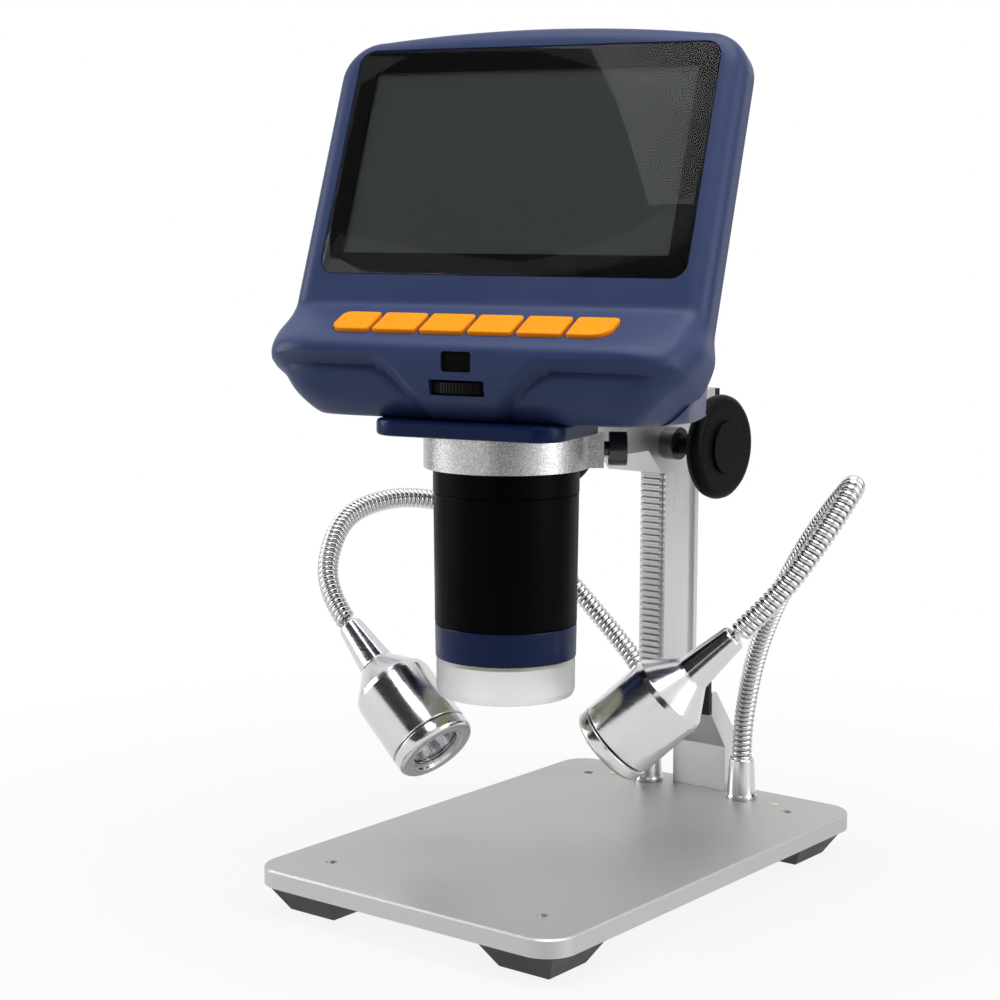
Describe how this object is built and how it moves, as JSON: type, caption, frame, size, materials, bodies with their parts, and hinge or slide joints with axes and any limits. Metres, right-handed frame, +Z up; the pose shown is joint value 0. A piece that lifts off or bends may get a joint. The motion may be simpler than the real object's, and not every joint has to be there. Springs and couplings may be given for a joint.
{
  "type": "lcd digital microscope",
  "caption": "Desktop digital microscope: tilted screen housing with a key row on a vertical barrel, rack mast on a flat plate, and gooseneck lamps.",
  "frame": {"origin": "middle of the plate on the table", "axes": "+Z up, -Y towards the user at the front of the plate, +X to the right of somebody facing the screen"},
  "size_m": [0.1623, 0.154, 0.2413],
  "materials": {
    "satin_plate": "satin, milled edges",
    "black_rubber": "matt",
    "steel_screw": "polished",
    "brass_screw": "satin",
    "mast_aluminium": "drawn, satin",
    "black_plastic": "fine texture",
    "rack_steel": "cut teeth",
    "bright_steel": "ground",
    "chrome": "polished",
    "slider_aluminium": "satin",
    "bush_metal": "gloss",
    "clamp_black": "semi-gloss",
    "housing_blue": "fine spark texture",
    "socket_metal": "stamped",
    "screen_glass": "gloss black border",
    "lcd": "dark screen",
    "circuit_board": "solder mask",
    "dark_window": "gloss",
    "band_blue": "gloss",
    "black_metal": "satin",
    "frosted_skirt": "frosted",
    "clear_glass": "clear",
    "key_orange": "soft",
    "wheel_black": "ribbed"
  },
  "bodies": {
    "stand": {"base_plate": "satin_plate", "rubber_feet": "black_rubber", "foot_screws": "steel_screw", "plate_screws": "brass_screw", "mast_foot": "mast_aluminium", "mast_pad": "black_rubber", "mast_screws": "steel_screw", "mast_bar": "mast_aluminium", "mast_cap": "black_plastic", "mast_rack": "rack_steel", "lamp_ferrules": "chrome", "lamp_power_box": "black_plastic"},
    "carriage": {"carriage": "slider_aluminium", "carriage_cover": "black_plastic", "carriage_screws": "steel_screw", "shaft_bushes": "bush_metal", "ring_clamp": "slider_aluminium"},
    "pinion": {"pinion_shaft": "bright_steel", "pinion_gear": "rack_steel", "knob_left": "black_plastic", "knob_right": "black_plastic", "knob_caps": "bush_metal"},
    "clamp": {"clamp_screw": "clamp_black"},
    "head": {"front_shell": "housing_blue", "rear_shell": "housing_blue", "side_sockets": "socket_metal", "case_screws": "steel_screw", "cover_glass": "screen_glass", "lcd_panel": "lcd", "main_board": "circuit_board", "control_boards": "circuit_board", "ir_window": "dark_window", "head_flange": "band_blue", "barrel_body": "black_metal", "barrel_band": "band_blue", "diffuser_skirt": "frosted_skirt", "led_ring_board": "circuit_board", "front_glass": "clear_glass", "sensor_board": "circuit_board"},
    "wheel": {"thumbwheel": "wheel_black"},
    "focus": {"focus_sleeve": "black_metal"},
    "lens": {"lens_carrier": "black_metal"},
    "lower_left": {"hose_lower_left": "chrome"},
    "lower_right": {"hose_lower_right": "chrome"},
    "upper_left": {"hose_upper_left": "chrome"},
    "upper_right": {"hose_upper_right": "chrome"},
    "lamp_left": {"lamp_body_left": "chrome", "lamp_bezel_left": "chrome", "lamp_lens_left": "clear_glass", "lamp_led_left": "circuit_board"},
    "lamp_right": {"lamp_body_right": "chrome", "lamp_bezel_right": "chrome", "lamp_lens_right": "clear_glass", "lamp_led_right": "circuit_board"},
    "key_1": {"key_1": "key_orange"},
    "key_2": {"key_2": "key_orange"},
    "key_3": {"key_3": "key_orange"},
    "key_4": {"key_4": "key_orange"},
    "key_5": {"key_5": "key_orange"},
    "key_6": {"key_6": "key_orange"}
  },
  "joints": [
    {"name": "carriage_slide", "type": "slide", "parent": "stand", "child": "carriage", "axis": [0, 0, 1], "range_m": [-0.003, 0.025]},
    {"name": "pinion_turn", "type": "hinge", "parent": "carriage", "child": "pinion", "pos_m": [0, 0.035, 0.1248], "axis": [1, 0, 0], "range_deg": [-270, 90]},
    {"name": "clamp_turn", "type": "hinge", "parent": "carriage", "child": "clamp", "pos_m": [0, -0.0297, 0.12805], "axis": [0.788, 0.6157, 0], "range_deg": [-180, 180]},
    {"name": "head_swivel", "type": "hinge", "parent": "carriage", "child": "head", "pos_m": [0, -0.0297, 0.12805], "axis": [0, 0, 1], "range_deg": [-50, 22]},
    {"name": "key_1_press", "type": "slide", "parent": "head", "child": "key_1", "axis": [-0.0894, 0.3754, -0.9226], "range_m": [0, 0.0008], "stiffness_N_per_m": 400},
    {"name": "key_2_press", "type": "slide", "parent": "head", "child": "key_2", "axis": [-0.0894, 0.3754, -0.9226], "range_m": [0, 0.0008], "stiffness_N_per_m": 400},
    {"name": "key_3_press", "type": "slide", "parent": "head", "child": "key_3", "axis": [-0.0894, 0.3754, -0.9226], "range_m": [0, 0.0008], "stiffness_N_per_m": 400},
    {"name": "key_4_press", "type": "slide", "parent": "head", "child": "key_4", "axis": [-0.0894, 0.3754, -0.9226], "range_m": [0, 0.0008], "stiffness_N_per_m": 400},
    {"name": "key_5_press", "type": "slide", "parent": "head", "child": "key_5", "axis": [-0.0894, 0.3754, -0.9226], "range_m": [0, 0.0008], "stiffness_N_per_m": 400},
    {"name": "key_6_press", "type": "slide", "parent": "head", "child": "key_6", "axis": [-0.0894, 0.3754, -0.9226], "range_m": [0, 0.0008], "stiffness_N_per_m": 400},
    {"name": "thumbwheel_turn", "type": "hinge", "parent": "head", "child": "wheel", "pos_m": [0.00515, -0.0513, 0.1446], "axis": [0, 0, 1], "range_deg": [-135, 135]},
    {"name": "focus_turn", "type": "hinge", "parent": "head", "child": "focus", "pos_m": [0, -0.0297, 0.098], "axis": [0, 0, 1], "range_deg": [-180, 180]},
    {"name": "lens_slide", "type": "slide", "parent": "head", "child": "lens", "axis": [0, 0, 1], "range_m": [-0.003, 0.003]},
    {"name": "lamp_swing_left", "type": "hinge", "parent": "stand", "child": "lower_left", "pos_m": [-0.0172, 0.0663, 0.0156], "axis": [0, 0, 1], "range_deg": [-12, 0]},
    {"name": "lamp_bend_left", "type": "hinge", "parent": "lower_left", "child": "upper_left", "pos_m": [-0.0705, 0.0321, 0.10025], "axis": [0.9072, -0.4206, 0], "range_deg": [-2, 6]},
    {"name": "lamp_nod_left", "type": "hinge", "parent": "upper_left", "child": "lamp_left", "pos_m": [-0.0568, -0.0312, 0.0735], "axis": [0.1221, 0.9925, 0], "range_deg": [-1.5, 12]},
    {"name": "lamp_swing_right", "type": "hinge", "parent": "stand", "child": "lower_right", "pos_m": [0.0172, 0.0663, 0.0156], "axis": [0, 0, 1], "range_deg": [0, 12]},
    {"name": "lamp_bend_right", "type": "hinge", "parent": "lower_right", "child": "upper_right", "pos_m": [0.06075, 0.0354, 0.1054], "axis": [0.5315, 0.8471, 0], "range_deg": [-2, 6]},
    {"name": "lamp_nod_right", "type": "hinge", "parent": "upper_right", "child": "lamp_right", "pos_m": [0.0564, -0.0007, 0.0796], "axis": [0.4256, -0.9049, 0], "range_deg": [-1.5, 12]}
  ],
  "couplings": [
    {"joint": "pinion_turn", "follows": "carriage_slide", "rad_per_m": -185.19},
    {"joint": "lens_slide", "follows": "focus_turn", "m_per_rad": 0.000955}
  ]
}
